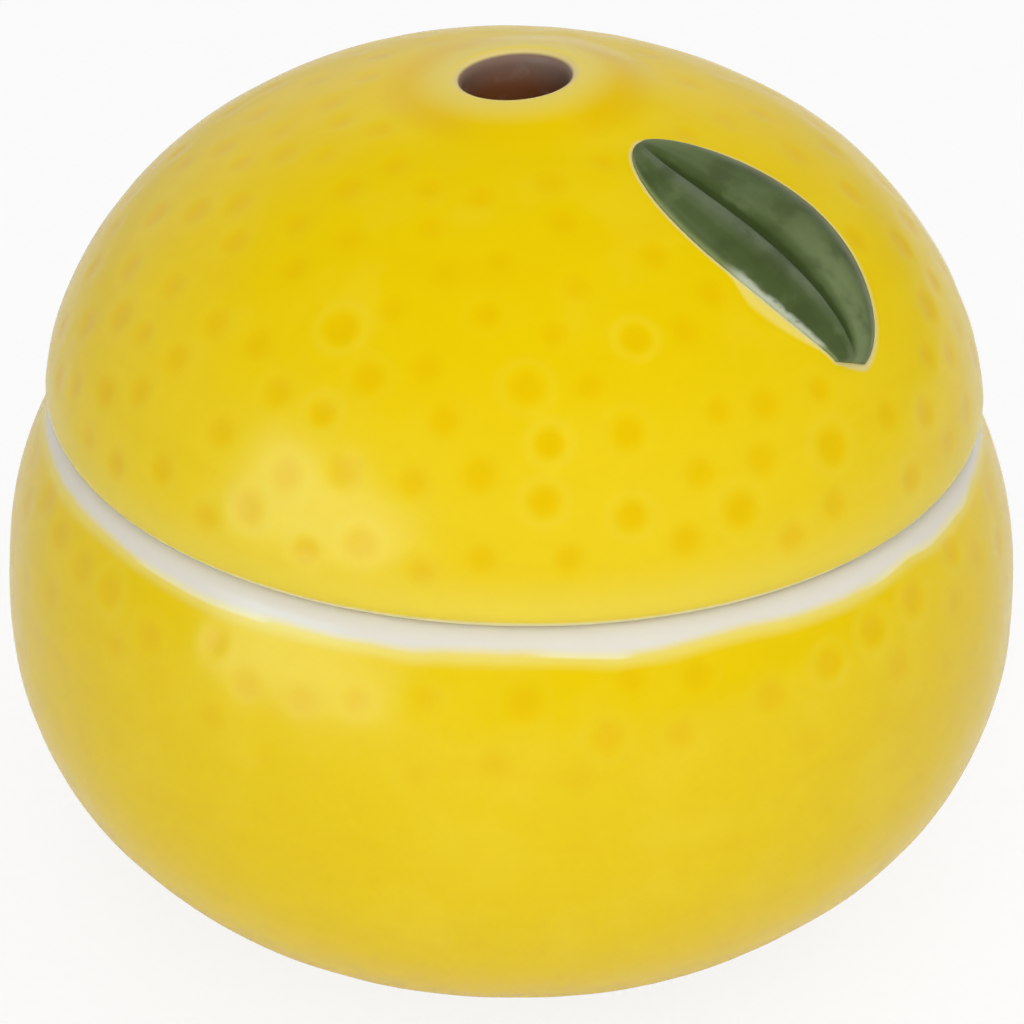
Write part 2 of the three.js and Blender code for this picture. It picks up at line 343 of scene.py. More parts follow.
def finish_with(piece, kind, **settings):
    """Add a modifier with its settings and apply it."""
    only(piece)
    modifier = piece.modifiers.new(kind.lower(), kind)
    for name, value in settings.items():
        setattr(modifier, name, value)
    bpy.ops.object.modifier_apply(modifier=modifier.name)


def turned(name, section):
    """A section, from point to point, turned once round Z."""
    bpy.ops.object.select_all(action="DESELECT")
    bpy.ops.mesh.primitive_plane_add(size=2 * MM, location=(0, 0, 0))
    piece = bpy.context.object
    piece.name = name
    bpy.ops.object.mode_set(mode="EDIT")
    bpy.ops.mesh.merge(type="CENTER")
    at = Vector((0, 0, 0))
    for k, (radius, height) in enumerate(section):
        step = Vector((radius, 0, height)) * MM - at
        at += step
        if k == 0:
            bpy.ops.transform.translate(value=step)
        else:
            bpy.ops.mesh.extrude_vertices_move(TRANSFORM_OT_translate={"value": step})
    bpy.ops.object.mode_set(mode="OBJECT")
    finish_with(piece, "SCREW", angle=2 * math.pi, steps=TURNS, render_steps=TURNS)
    bpy.ops.object.mode_set(mode="EDIT")
    bpy.ops.mesh.select_all(action="SELECT")
    bpy.ops.mesh.remove_doubles(threshold=DOUBLES_GAP * MM)
    bpy.ops.mesh.normals_make_consistent(inside=False)
    bpy.ops.object.mode_set(mode="OBJECT")
    bpy.ops.object.shade_smooth()
    print(name, "has", len(piece.data.vertices), "vertices and", len(piece.data.polygons), "faces")
    return piece


bowl = turned("bowl_glazed", bowl_section)
lid = turned("lid_glazed", lid_section + lid_section[:1])

# %% [markdown]
# ### Uneven casting
# A cast pot is never quite true: it gives a little as it leaves the mould and again in the kiln, and
# its gloss shows that more than its outline does. A Displace modifier with a cloud texture moves the
# outside by about a tenth of a millimetre, and less where lid and bowl meet.

# %% Cast wobble
WOBBLE_SIZE = 26.0
WOBBLE_STRENGTH = 0.6
WOBBLE_CLEAR = 2.0
WOBBLE_FADE = 8.0
SEAT_CLEAR = 1.0  # outside of bowl and lid from the seat between them
LEAST_WEIGHT = 0.001


def push(piece, name, weights, amount, mid_level=0, **settings):
    """Displace a piece by an amount in millimetres, each vertex by the share that is its weight."""
    group = piece.vertex_groups.new(name=name)
    for index, weight in enumerate(weights):
        if weight > LEAST_WEIGHT:
            group.add([index], weight, "REPLACE")
    finish_with(piece, "DISPLACE", strength=amount * MM, mid_level=mid_level, vertex_group=group.name,
                **settings)


def outside_bowl(spot, normal):
    return normal.dot(spot - Vector((0, 0, BELLY_HEIGHT))) > 0 and spot.z < SEAT_HEIGHT - SEAT_CLEAR


def outside_lid(spot, normal):
    above = normal.dot(spot - Vector((0, 0, dome_centre))) > 0 and spot.z > SEAT_HEIGHT + SEAT_CLEAR
    return above and math.hypot(spot.x, spot.y) > crest_radius


clouds = bpy.data.textures.new("cast_wobble", "CLOUDS")
clouds.noise_scale = WOBBLE_SIZE * MM
for piece, is_outside in ((bowl, outside_bowl), (lid, outside_lid)):
    weights = []
    for vertex in piece.data.vertices:
        spot = vertex.co / MM
        free = fading(abs(spot.z - SEAT_HEIGHT), WOBBLE_CLEAR, WOBBLE_FADE)
        free *= fading(spot.z, WOBBLE_CLEAR, WOBBLE_FADE)
        free *= fading(math.hypot(spot.x, spot.y), crest_radius, crest_radius + WOBBLE_FADE)
        weights.append(free if is_outside(spot, vertex.normal) else 0.0)
    push(piece, "wobble", weights, WOBBLE_STRENGTH, mid_level=0.5, texture=clouds, texture_coords="LOCAL")
    print(piece.name, "is now", [round(v / MM, 2) for v in piece.dimensions], "mm")

# %% [markdown]
# ### The hole cut by hand
# The hole was cut by hand in the soft clay, so it leans a little to the left and lies slightly off
# the middle. Vertex groups that fade out over the nub's skirt say how far each point follows.

# %% Lean the hole
HOLE_LEAN = 5.0  # degrees
HOLE_SHIFT = -0.6

hole_foot = under_line[0][1]
follow = []
for vertex in lid.data.vertices:
    spot = vertex.co / MM
    near = fading(math.hypot(spot.x, spot.y), nub_base, crest_radius)
    follow.append(near * fading(spot.z, hole_foot, crest - LIP_ROUND))
rise = nub_base * math.tan(math.radians(HOLE_LEAN))
for side in (-1, 1):
    weights = [share * max(0.0, side * vertex.co.x / MM / nub_base)
               for share, vertex in zip(follow, lid.data.vertices)]
    push(lid, "lean", weights, side * rise, direction="Z")
push(lid, "shift", follow, HOLE_SHIFT, direction="X")
print("the hole leans by", HOLE_LEAN, "degrees; the lid is", round(lid.dimensions.z / MM, 2), "mm high")

# %% [markdown]
# ## The leaf
# The leaf was pressed in a mould and stuck on with slip before the firing. Here it starts as a
# flat grid, one column of vertices after another is stretched to the leaf's outline, and the sheet
# is laid on the dome by a Shrinkwrap that projects along the leaf's own Z. The grid's UV map then
# says how far along and how far across the leaf a point lies, and keeps saying it through every
# modifier. The straighter edge is kept half a millimetre inside the solid's, because slip laps over
# it, and the midrib runs a little nearer to that edge.

# %% The leaf's outline
LEAF_LENGTH = 33.6
LEAF_UPPER_WIDTH = 12.0  # from the leaf's axis to its fuller edge
LEAF_LOWER_WIDTH = 6.3  # from the leaf's axis to its straighter edge
LEAF_UPPER_SKEW, LEAF_UPPER_BLUNTNESS = 1.28, 0.46
LEAF_LOWER_SKEW, LEAF_LOWER_BLUNTNESS = 0.75, 0.74
LEAF_RIB_TIP, LEAF_RIB_STALK = 0.335, 0.41  # from the straighter edge (0) to the fuller one (1)
LEAF_STALK_WIDTH = 4.0
LEAF_STALK_OFFSET = 0.6  # middle of the cut stalk end towards the fuller side
LEAF_STALK_SLANT = 1.0  # fuller side of the cut stalk end beyond its middle
LEAF_SLANT_FADE = 6  # a high power, so that only the end near the stalk slants
LEAF_TIP_SHARE = 0.004  # the tip is slightly blunt
LEAF_COLUMNS = 96
LEAF_LANES = 48


def leaf_edges(share):
    """Upper edge, lower edge and midrib, across the leaf, at a share of its length from the tip."""
    half_stalk = LEAF_STALK_WIDTH / 2 * share ** 2
    offset = LEAF_STALK_OFFSET * share ** 2
    arch = max(0.0, math.sin(math.pi * share ** LEAF_UPPER_SKEW))
    upper = math.hypot(LEAF_UPPER_WIDTH * arch ** LEAF_UPPER_BLUNTNESS, half_stalk + offset)
    arch = max(0.0, math.sin(math.pi * share ** LEAF_LOWER_SKEW))
    lower = -math.hypot(LEAF_LOWER_WIDTH * arch ** LEAF_LOWER_BLUNTNESS, half_stalk - offset)
    rib_share = LEAF_RIB_TIP + (LEAF_RIB_STALK - LEAF_RIB_TIP) * share
    return upper, lower, lower + (upper - lower) * rib_share


def pick(piece, numbers):
    """In edit mode, select the vertices with these numbers and no others."""
    bpy.ops.mesh.select_all(action="DESELECT")
    mesh = bmesh.from_edit_mesh(piece.data)
    mesh.verts.ensure_lookup_table()
    for number in numbers:
        mesh.verts[number].select = True
    bmesh.update_edit_mesh(piece.data)


bpy.ops.object.select_all(action="DESELECT")
bpy.ops.mesh.primitive_grid_add(x_subdivisions=LEAF_COLUMNS, y_subdivisions=LEAF_LANES, size=2)
leaf = bpy.context.object
leaf.name = "leaf_glazed"
bpy.ops.object.mode_set(mode="EDIT")
bpy.ops.mesh.select_mode(type="VERT")
row = LEAF_COLUMNS + 1
for column in range(row):
    start = 2 * column / LEAF_COLUMNS - 1
    eased = (1 - math.cos(math.pi * column / LEAF_COLUMNS)) / 2
    share = LEAF_TIP_SHARE + (1 - LEAF_TIP_SHARE) * eased
    upper, lower, rib = leaf_edges(share)
    lanes = [column + row * lane for lane in range(LEAF_LANES + 1)]
    pick(leaf, lanes[LEAF_LANES // 2 + 1:])
    bpy.ops.transform.resize(value=(1, (upper - rib) * MM, 1), center_override=(start, 0, 0))
    pick(leaf, lanes[:LEAF_LANES // 2])
    bpy.ops.transform.resize(value=(1, (rib - lower) * MM, 1), center_override=(start, 0, 0))
    pick(leaf, lanes)
    place = Vector((share * LEAF_LENGTH * MM, rib * MM, 0))
    bpy.ops.transform.translate(value=place - Vector((start, 0, 0)))
    slant = math.atan2(LEAF_STALK_SLANT * share ** LEAF_SLANT_FADE, (upper - lower) / 2)
    bpy.ops.transform.rotate(value=slant, orient_axis="Z", center_override=place)
bpy.ops.object.mode_set(mode="OBJECT")
ends = [leaf.data.vertices[number].co / MM for number in (lanes[0], lanes[-1])]
print("stalk end from", [round(v, 2) for v in ends[0]], "to", [round(v, 2) for v in ends[1]])

# %% [markdown]
# ### Laying the leaf on the dome
# The flat leaf is held a little above the place on the dome where it belongs, and Shrinkwrap drops
# it. It is then sunk slightly, because slip fills the joint, and Solidify, Bevel and one
# subdivision make it a thin slab with a rolled edge.

# %% Lay the leaf
LEAF_LATITUDE = 53.7  # degrees up the dome's curve
LEAF_BEARING = -39.5  # degrees round the lid from +X
LEAF_TURN = 2.1  # degrees from the slope line
LEAF_MIDDLE = 15.5  # leaf's anchor point from its tip
LEAF_SIDESTEP = 1.0  # leaf's anchor point off its axis
LEAF_DROP = 5.0  # flat leaf above the dome before it is laid
LEAF_SINK = 0.25
LEAF_EDGE_HEIGHT = 0.3
LEAF_EDGE_ROUND = 0.22
LEAF_EDGE_ANGLE = 50.0  # degrees, from which an edge is rounded

latitude = math.radians(LEAF_LATITUDE)
bearing = math.radians(LEAF_BEARING)
anchor = Vector((
    dome_radius * math.cos(latitude) * math.cos(bearing),
    dome_radius * math.cos(latitude) * math.sin(bearing),
    dome_centre + dome_height * math.sin(latitude),
))


def dome_normal(point):
    """Outward normal of the dome at a point, in millimetres."""
    across = Vector((point.x, point.y, 0)) / dome_radius ** 2
    return (across + Vector((0, 0, point.z - dome_centre)) / dome_height ** 2).normalized()


outward = dome_normal(anchor)
level = Vector((-math.sin(bearing), math.cos(bearing), 0))
turn = Matrix.Rotation(math.radians(LEAF_TURN), 3, outward)
along = turn @ level.cross(outward)
across = turn @ level
tip = anchor - LEAF_MIDDLE * along - LEAF_SIDESTEP * across + LEAF_DROP * outward
place = Matrix((along, across, outward)).transposed().to_4x4()
place.translation = tip * MM
leaf.matrix_world = place
finish_with(leaf, "SHRINKWRAP", target=lid, wrap_method="PROJECT", use_project_z=True,
            use_negative_direction=True, use_positive_direction=False)
only(leaf)
bpy.ops.object.transform_apply(location=True, rotation=True, scale=True)
finish_with(leaf, "DISPLACE", strength=-LEAF_SINK * MM, mid_level=0)
finish_with(leaf, "SOLIDIFY", thickness=(LEAF_EDGE_HEIGHT + LEAF_SINK) * MM, offset=1)
finish_with(leaf, "BEVEL", width=LEAF_EDGE_ROUND * MM, segments=3, limit_method="ANGLE",
            angle_limit=math.radians(LEAF_EDGE_ANGLE))
finish_with(leaf, "SUBSURF", levels=1, render_levels=1)
bpy.ops.object.shade_smooth()
print("leaf has", len(leaf.data.polygons), "faces")

# %% [markdown]
# ### Relief of the leaf
# Each half of the leaf swells, and a narrow crease runs between them along the midrib. A vertex
# group holds how much of the swell a point takes, read from the UV map, and Displace then lifts the
# points along their normals. Only the top takes part, so the edge and underside stay where they are.

# %% Swell the halves
LEAF_SWELL = 1.4
LEAF_TOP = (0.2, 0.75)  # how far a normal follows the dome's where the swell starts and is full
LEAF_UPPER_ROLL, LEAF_LOWER_ROLL = 0.4, 0.85  # share of each half over which its edge rolls down
LEAF_CREASE = 0.22  # share of each half that the crease takes
LEAF_CREASE_DEPTH = 0.5  # share of the swell
CREASE_TIP, CREASE_STALK = (0.1, 0.26), (0.95, 0.82)  # shares of the length where the crease runs out


def uv_of_vertices(piece):
    """The UV of each vertex, taken from one of its corners."""
    uv = [None] * len(piece.data.vertices)
    layer = piece.data.uv_layers.active.data
    for loop in piece.data.loops:
        uv[loop.vertex_index] = layer[loop.index].uv.copy()
    return uv


swell = []
for vertex, uv in zip(leaf.data.vertices, uv_of_vertices(leaf)):
    on_top = fading(vertex.normal.dot(dome_normal(vertex.co / MM)), *LEAF_TOP)
    side = min(1.0, abs(2 * uv.y - 1))
    long = math.sqrt(max(0.0, math.sin(math.pi * uv.x)))
    reach = LEAF_UPPER_ROLL if uv.y > 0.5 else LEAF_LOWER_ROLL
    roll = math.sin(math.pi / 2 * min(1.0, (1 - side) / reach))
    depth = LEAF_CREASE_DEPTH * fading(uv.x, *CREASE_TIP) * fading(uv.x, *CREASE_STALK)
    crease = depth * (1 - math.sin(math.pi / 2 * min(1.0, side / LEAF_CREASE)))
    swell.append(on_top * long * (roll - crease))
push(leaf, "swell", swell, LEAF_SWELL)
print("leaf box:", [round(value / MM, 1) for value in leaf.dimensions], "mm")

# %% [markdown]
# ### The lid round the leaf
# Slip was wiped along the leaf's edge and shows as a thin pale line, so the lid's faces there are
# divided again: a line half a millimetre wide needs vertices closer than that.

# %% Finer faces round the leaf
FINE_REACH = 2.4
FINE_CUTS = 2
EDGE_SHARE = 0.005  # a vertex this near the rim of the UV map lies on the leaf's edge
WORN_FROM, WORN_TO = 0.51, 0.8  # shares of the leaf's length
HALO_TAIL = 0.12  # the halo goes on past the worn edge


def tree_of(spots):
    """A search tree of places."""
    tree = KDTree(len(spots))
    for index, spot in enumerate(spots):
        tree.insert(spot, index)
    tree.balance()
    return tree


outline = []
for vertex, uv in zip(leaf.data.vertices, uv_of_vertices(leaf)):
    if min(uv.x, 1 - uv.x, uv.y, 1 - uv.y) < EDGE_SHARE:
        outline.append((vertex.co / MM, uv))
leaf_edge = tree_of([spot for spot, uv in outline])
worn = [(spot, uv) for spot, uv in outline if uv.y < 0.5 and WORN_FROM < uv.x < WORN_TO + HALO_TAIL]
worn_edge = tree_of([spot for spot, uv in worn])
only(lid)
bpy.ops.object.mode_set(mode="EDIT")
bpy.ops.mesh.select_mode(type="FACE")
bpy.ops.mesh.select_all(action="DESELECT")
mesh = bmesh.from_edit_mesh(lid.data)
for face in mesh.faces:
    face.select = leaf_edge.find(face.calc_center_median() / MM)[2] < FINE_REACH
bmesh.update_edit_mesh(lid.data)
bpy.ops.mesh.subdivide(number_cuts=FINE_CUTS)
bpy.ops.object.mode_set(mode="OBJECT")
print(lid.name, "has", len(lid.data.polygons), "faces after dividing those round the leaf")

# %% [markdown]
# ## Peel
# The peel of a citrus fruit has a dimple over each oil gland. On the real bowl these are shallow
# dents in the clay, about 4 mm wide and 7 mm apart, and the glaze pools in them and turns a deeper
# gold. They are thrown at random, and one that lands too near another is dropped, which spreads them
# evenly and never in rows. They show best low on the lid and under the bowl's rim, are fainter near
# the top, and are nearly filled by running glaze low on the belly.

# %% Scatter the dents
PORE_GAP = 5.7  # least distance between two dents
PORE_RADIUS = (1.5, 2.0)
PORE_TONE = (0.7, 1.0)  # how strong a dent is
PORE_MISSES = 250  # throws that find no room before the surface counts as full


def scatter(line, seed):
    """Dents as (place, radius, tone), spread evenly over the surface that a line turns."""
    chance = random.Random(seed)
    areas = [0.0]
    for (x0, z0), (x1, z1) in zip(line, line[1:]):
        areas.append(areas[-1] + math.pi * (x0 + x1) * math.hypot(x1 - x0, z1 - z0))
    pores = []
    misses = 0
    while misses < PORE_MISSES:
        radius, height = line[bisect.bisect(areas, chance.uniform(0, areas[-1])) - 1]
        angle = chance.uniform(0, 2 * math.pi)
        spot = Vector((radius * math.cos(angle), radius * math.sin(angle), height))
        if any((spot - other).length < PORE_GAP for other, _, _ in pores):
            misses += 1
            continue
        pores.append((spot, chance.uniform(*PORE_RADIUS), chance.uniform(*PORE_TONE)))
        misses = 0
    return pores


LID_SEED, BOWL_SEED = 7, 21
PORE_MARGIN = 6.0  # from the lid's edge and the bowl's foot
RIM_MARGIN = 4.2
LEAF_MARGIN = 2.6
FILLED_HEIGHT, FILLED_TONE = (57.0, 46.0), 0.3  # heights on the belly, and the tone that is left
FAINT_RISE, FAINT_TONE = (26.0, 35.0), 0.72  # heights above the seat, and the tone that is left

lid_line = [p for p in walk(dome_line, PEEL_ROW) if p[1] > SEAT_HEIGHT + PORE_MARGIN]
bowl_line = [p for p in walk(belly_line, PEEL_ROW) if PORE_MARGIN < p[1] < SEAT_HEIGHT - RIM_MARGIN]
lid_pores, bowl_pores = [], []
for spot, radius, tone in scatter(lid_line, LID_SEED):
    if leaf_edge.find(spot)[2] > LEAF_MARGIN:
        faint = fading(spot.z - SEAT_HEIGHT, *FAINT_RISE)
        lid_pores.append((spot, radius, tone * (1 - (1 - FAINT_TONE) * faint)))
for spot, radius, tone in scatter(bowl_line, BOWL_SEED):
    filled = fading(spot.z, *FILLED_HEIGHT)
    bowl_pores.append((spot, radius, tone * (1 - (1 - FILLED_TONE) * filled)))
print(len(lid_pores), "dents on the lid,", len(bowl_pores), "on the bowl")

# %% [markdown]
# Each vertex gets its depth in a vertex group for Displace. Glaze pools over the whole dent and is
# drawn thin in a ring round a strong one, and pool and ring are left as attributes, which tell the
# material how thick the glaze is.

# %% Press the dents
PORE_DEPTH = 0.13
DENT_REACH = 1.5  # this and the reaches below are in radii of the dent
POOL_REACH, POOL_FULL = 1.6, 0.15
RING_START, RING_PEAK, RING_REACH = 0.9, 1.5, 2.3
RING_TONE = 0.75  # only stronger dents have a ring


def press(piece, pores, is_outside):
    """Dent a turned piece, and leave the attributes pore and ring for its glaze."""
    tree = tree_of([pore[0] for pore in pores])
    dents, pools, rings = [], [], []
    for vertex in piece.data.vertices:
        dent = pool = ring = 0.0
        spot = vertex.co / MM
        if is_outside(spot, vertex.normal):
            for _, index, distance in tree.find_range(spot, PORE_RADIUS[1] * RING_REACH):
                radius, tone = pores[index][1:]
                share = distance / radius
                dent = max(dent, tone * max(0.0, 1 - (share / DENT_REACH) ** 2) ** 2)
                pool = max(pool, tone * fading(share, POOL_REACH, POOL_FULL))
                ringed = max(0.0, tone - RING_TONE) / (1 - RING_TONE)
                ringed *= fading(share, RING_START, RING_PEAK) * fading(share, RING_REACH, RING_PEAK)
                ring = max(ring, ringed)
        dents.append(dent)
        pools.append(pool)
        rings.append(ring)
    for name, values in (("pore", pools), ("ring", rings)):
        piece.data.attributes.new(name, "FLOAT", "POINT").data.foreach_set("value", values)
    push(piece, "dents", dents, -PORE_DEPTH)


press(bowl, bowl_pores, outside_bowl)
press(lid, lid_pores, outside_lid)
print("dented", bowl.name, "and", lid.name)

# %% [markdown]
# The same is done for the slip along the leaf: a thin line all round, finer on the lower side, and a
# wider halo where the leaf is worn, widest near the middle of the leaf.

# %% Slip along the leaf
SLIP_WIDTH = (0.5, 1.15)  # at the straighter edge and at the fuller one
SLIP_SPREAD = (0.0, 0.8)  # shares across the leaf between which the width changes
SLIP_CORE = 0.25  # share of the width that is fully pale
HALO_LEAST, HALO_WIDTH = 0.1, 2.3
HALO_PEAK = 0.62
HALO_CORE = 0.4

slip, halo = [], []
for vertex in lid.data.vertices:
    _, index, gap = leaf_edge.find(vertex.co / MM)
    wider = fading(outline[index][1].y, *SLIP_SPREAD)
    width = SLIP_WIDTH[0] + (SLIP_WIDTH[1] - SLIP_WIDTH[0]) * wider
    slip.append(fading(gap, width, width * SLIP_CORE))
    _, index, gap = worn_edge.find(vertex.co / MM)
    long = worn[index][1].x
    wider = fading(long, WORN_FROM, HALO_PEAK) * fading(long, WORN_TO + HALO_TAIL, HALO_PEAK)
    width = HALO_LEAST + HALO_WIDTH * wider
    halo.append(fading(gap, width, width * HALO_CORE))
for name, values in (("slip", slip), ("halo", halo)):
    lid.data.attributes.new(name, "FLOAT", "POINT").data.foreach_set("value", values)
print(sum(value > 0.5 for value in slip), "vertices lie on the slip line")

# %% [markdown]
# ## Finishes
# Colours are written as sRGB hex values, as a colour picker shows them, and one function turns them
# to the linear values that shaders use. One other small function adds a node with its settings,
# values and links, so that a material reads as a list of its layers.

# %% Helpers for materials
MIX_UNDER, MIX_OVER, MIX_RESULT = 6, 7, 2  # colour sockets of a Mix node


def linear(colour):
    """An sRGB hex colour as a linear RGBA value."""
    channels = [int(colour[i:i + 2], 16) / 255 for i in (1, 3, 5)]
    return [c / 12.92 if c <= 0.04045 else ((c + 0.055) / 1.055) ** 2.4 for c in channels] + [1.0]


def give(tree, node, inputs):
    """Give each socket of a node its value, or link it to the output of another node."""
    for socket, value in inputs.items():
        if isinstance(value, bpy.types.NodeSocket):
            tree.links.new(value, node.inputs[socket])
        else:
            node.inputs[socket].default_value = value


def add(tree, kind, inputs=None, **settings):
    """Add a node with its settings, and the values and links of its sockets."""
    node = tree.nodes.new("ShaderNode" + kind)
    for name, value in settings.items():
        setattr(node, name, value)
    give(tree, node, inputs or {})
    return node


def new_material(name):
    """A material, its node tree and shader, and the place of a point in millimetres."""
    material = bpy.data.materials.new(name)
    material.use_nodes = True
    tree = material.node_tree
    metres = add(tree, "TexCoord").outputs["Object"]
    place = add(tree, "VectorMath", {0: metres, "Scale": 1 / MM}, operation="SCALE").outputs[0]
    return material, tree, tree.nodes["Principled BSDF"], place


def paint(tree, base, coats):
    """Coats over a base colour: each has a colour, a strength, and the ranges that it fades in by."""
    colour = linear(base)
    for shade, strength, *ranges in coats:
        for source, none_at, full_at in ranges:
            ramp = add(tree, "MapRange", {"Value": source, "From Min": none_at, "From Max": full_at},
                       interpolation_type="SMOOTHSTEP").outputs[0]
            strength = add(tree, "Math", {0: ramp, 1: strength}, operation="MULTIPLY").outputs[0]
        mix = add(tree, "Mix", {0: strength, MIX_UNDER: colour, MIX_OVER: linear(shade)},
                  data_type="RGBA")
        colour = mix.outputs[MIX_RESULT]
    return colour

# %% [markdown]
# ### Yellow glaze
# A glossy glaze coloured with a yellow stain, dipped over white earthenware. It is a glass, so it
# has a clear gloss and an IOR near 1.5. It runs while molten: thick and golden in the dents, thin
# and pale on edges, and slightly streaky everywhere. The lower half of the lid is painted a paler
# yellow as sheen.

# %% Yellow glaze
YELLOW = "#f0cf02"
GOLD = "#efc700"
PALE_YELLOW = "#f3d836"
# paler yellow: random mottle, and painted sheen on the lower half of the lid
MOTTLE_AND_SHEEN_YELLOW = "#f2d31c"
WHITE_SLIP = "#eae5da"
LOWER_LID_SHEEN_FADES = ((28.0, 10.0), (-6.0, 2.0))  # heights above the seat, on the lid's lower half
MOTTLE_SIZE = 9.0
STREAK_LENGTH, STREAK_WIDTH = 40.0, 4.0
RIPPLE_LENGTH, RIPPLE_WIDTH, RIPPLE_DEPTH = 14.0, 3.5, 0.06
GLAZE_ROUGHNESS = {"To Min": 0.18, "To Max": 0.28}
GLAZE_IOR = 1.45
GLAZE_SPECULAR = 0.25


def yellow_glaze(name, own_coats):
    """The glaze, with the coats that a piece adds to it."""
    material, tree, shader, place = new_material(name)
    mottle = add(tree, "TexNoise", {0: place, "Scale": 1 / MOTTLE_SIZE, "Detail": 3.0}).outputs["Fac"]
    strokes = [1 / STREAK_LENGTH] * 2 + [1 / STREAK_WIDTH]
    run = add(tree, "Mapping", {0: place, "Scale": strokes}).outputs[0]
    streak = add(tree, "TexNoise", {0: run, "Scale": 1.0, "Detail": 2.0}).outputs["Fac"]
    height = add(tree, "SeparateXYZ", {0: place}).outputs["Z"]
    pore = add(tree, "Attribute", attribute_name="pore").outputs["Fac"]
    ring = add(tree, "Attribute", attribute_name="ring").outputs["Fac"]
    # where the lid's lower half is painted paler as sheen
    lower_lid_sheen = [(height, SEAT_HEIGHT + none_at, SEAT_HEIGHT + full_at) for none_at, full_at in LOWER_LID_SHEEN_FADES]
    colour = paint(tree, YELLOW, [
        (MOTTLE_AND_SHEEN_YELLOW, 1.0, *lower_lid_sheen),
        (MOTTLE_AND_SHEEN_YELLOW, 0.6, (mottle, 0.48, 0.7)),
        (GOLD, 0.25, (streak, 0.5, 0.75)),
        (PALE_YELLOW, 0.32, (ring, 0.0, 1.0)),
        (GOLD, 1.0, (pore, 0.0, 0.85)),
    ] + own_coats(tree, place))
    rough = add(tree, "MapRange", {"Value": mottle, **GLAZE_ROUGHNESS}).outputs[0]
    waves = [1 / RIPPLE_LENGTH] * 2 + [1 / RIPPLE_WIDTH]
    flow = add(tree, "Mapping", {0: place, "Scale": waves}).outputs[0]
    ripple = add(tree, "TexNoise", {0: flow, "Scale": 1.0, "Detail": 1.0}).outputs["Fac"]
    bump = add(tree, "Bump", {"Height": ripple, "Strength": 0.3, "Distance": RIPPLE_DEPTH * MM}).outputs[0]
    give(tree, shader, {"Base Color": colour, "Roughness": rough, "Normal": bump, "IOR": GLAZE_IOR,
                        "Specular IOR Level": GLAZE_SPECULAR})
    return material


WAVER_SIZE = 14.0


def wavering_height(tree, place, waver):
    """Height in millimetres, shifted up and down by a slow noise round the pot."""
    noise = add(tree, "TexNoise", {0: place, "Scale": 1 / WAVER_SIZE, "Detail": 2.0}).outputs["Fac"]
    shift = add(tree, "MapRange", {"Value": noise, "To Min": -waver, "To Max": waver}).outputs[0]
    height = add(tree, "SeparateXYZ", {0: place}).outputs["Z"]
    return add(tree, "Math", {0: height, 1: shift}, operation="ADD").outputs[0]

# %% [markdown]
# On the bowl the glaze was wiped off the rim before firing, so that the lid wouldn't stick, and a
# white band is left with a soft, pale lower edge. Here and there a paler line is painted just under
# the band, as a highlight glinting on the glaze's edge.

# %% The bowl's glaze
RIM_GLAZE_LINE = 63.7  # height of the wiped edge
RIM_WAVER = 0.8
RIM_GLINT_SIZE = 20.0


def wiped_rim(tree, place):
    height = wavering_height(tree, place, RIM_WAVER)
    painted_glint = add(tree, "TexNoise", {0: place, "Scale": 1 / RIM_GLINT_SIZE, "Detail": 0.0}).outputs["Fac"]
    return [
        ("#f3e47e", 0.75, (height, RIM_GLAZE_LINE - 2.2, RIM_GLAZE_LINE - 0.5)),
        # painted highlight: a paler line glinting here and there just under the band
        ("#f6eeb4", 0.8, (height, RIM_GLAZE_LINE - 0.9, RIM_GLAZE_LINE - 0.5), (painted_glint, 0.5, 0.6)),
        (WHITE_SLIP, 1.0, (height, RIM_GLAZE_LINE - 0.8, RIM_GLAZE_LINE + 0.4)),
    ]


bowl_glaze = yellow_glaze("yellow_glaze_bowl", wiped_rim)
print("made", bowl_glaze.name)

# %% [markdown]
# On the lid the glaze is thin on the bottom edge and on the lip of the hole. A paler band a little
# above the bottom edge is painted sheen. Glaze gathers in the hollow round the nub, and its gold
# there is partly painted shade; the deeper gold on the nub's two sides is painted shade. The hole's
# edge is stained brown, and pale slip shows along the leaf's edge, widest where the leaf's own
# glaze is worn.

# %% The lid's glaze
HOLE_BROWN = "#8b7163"
EDGE_WAVER = 0.2


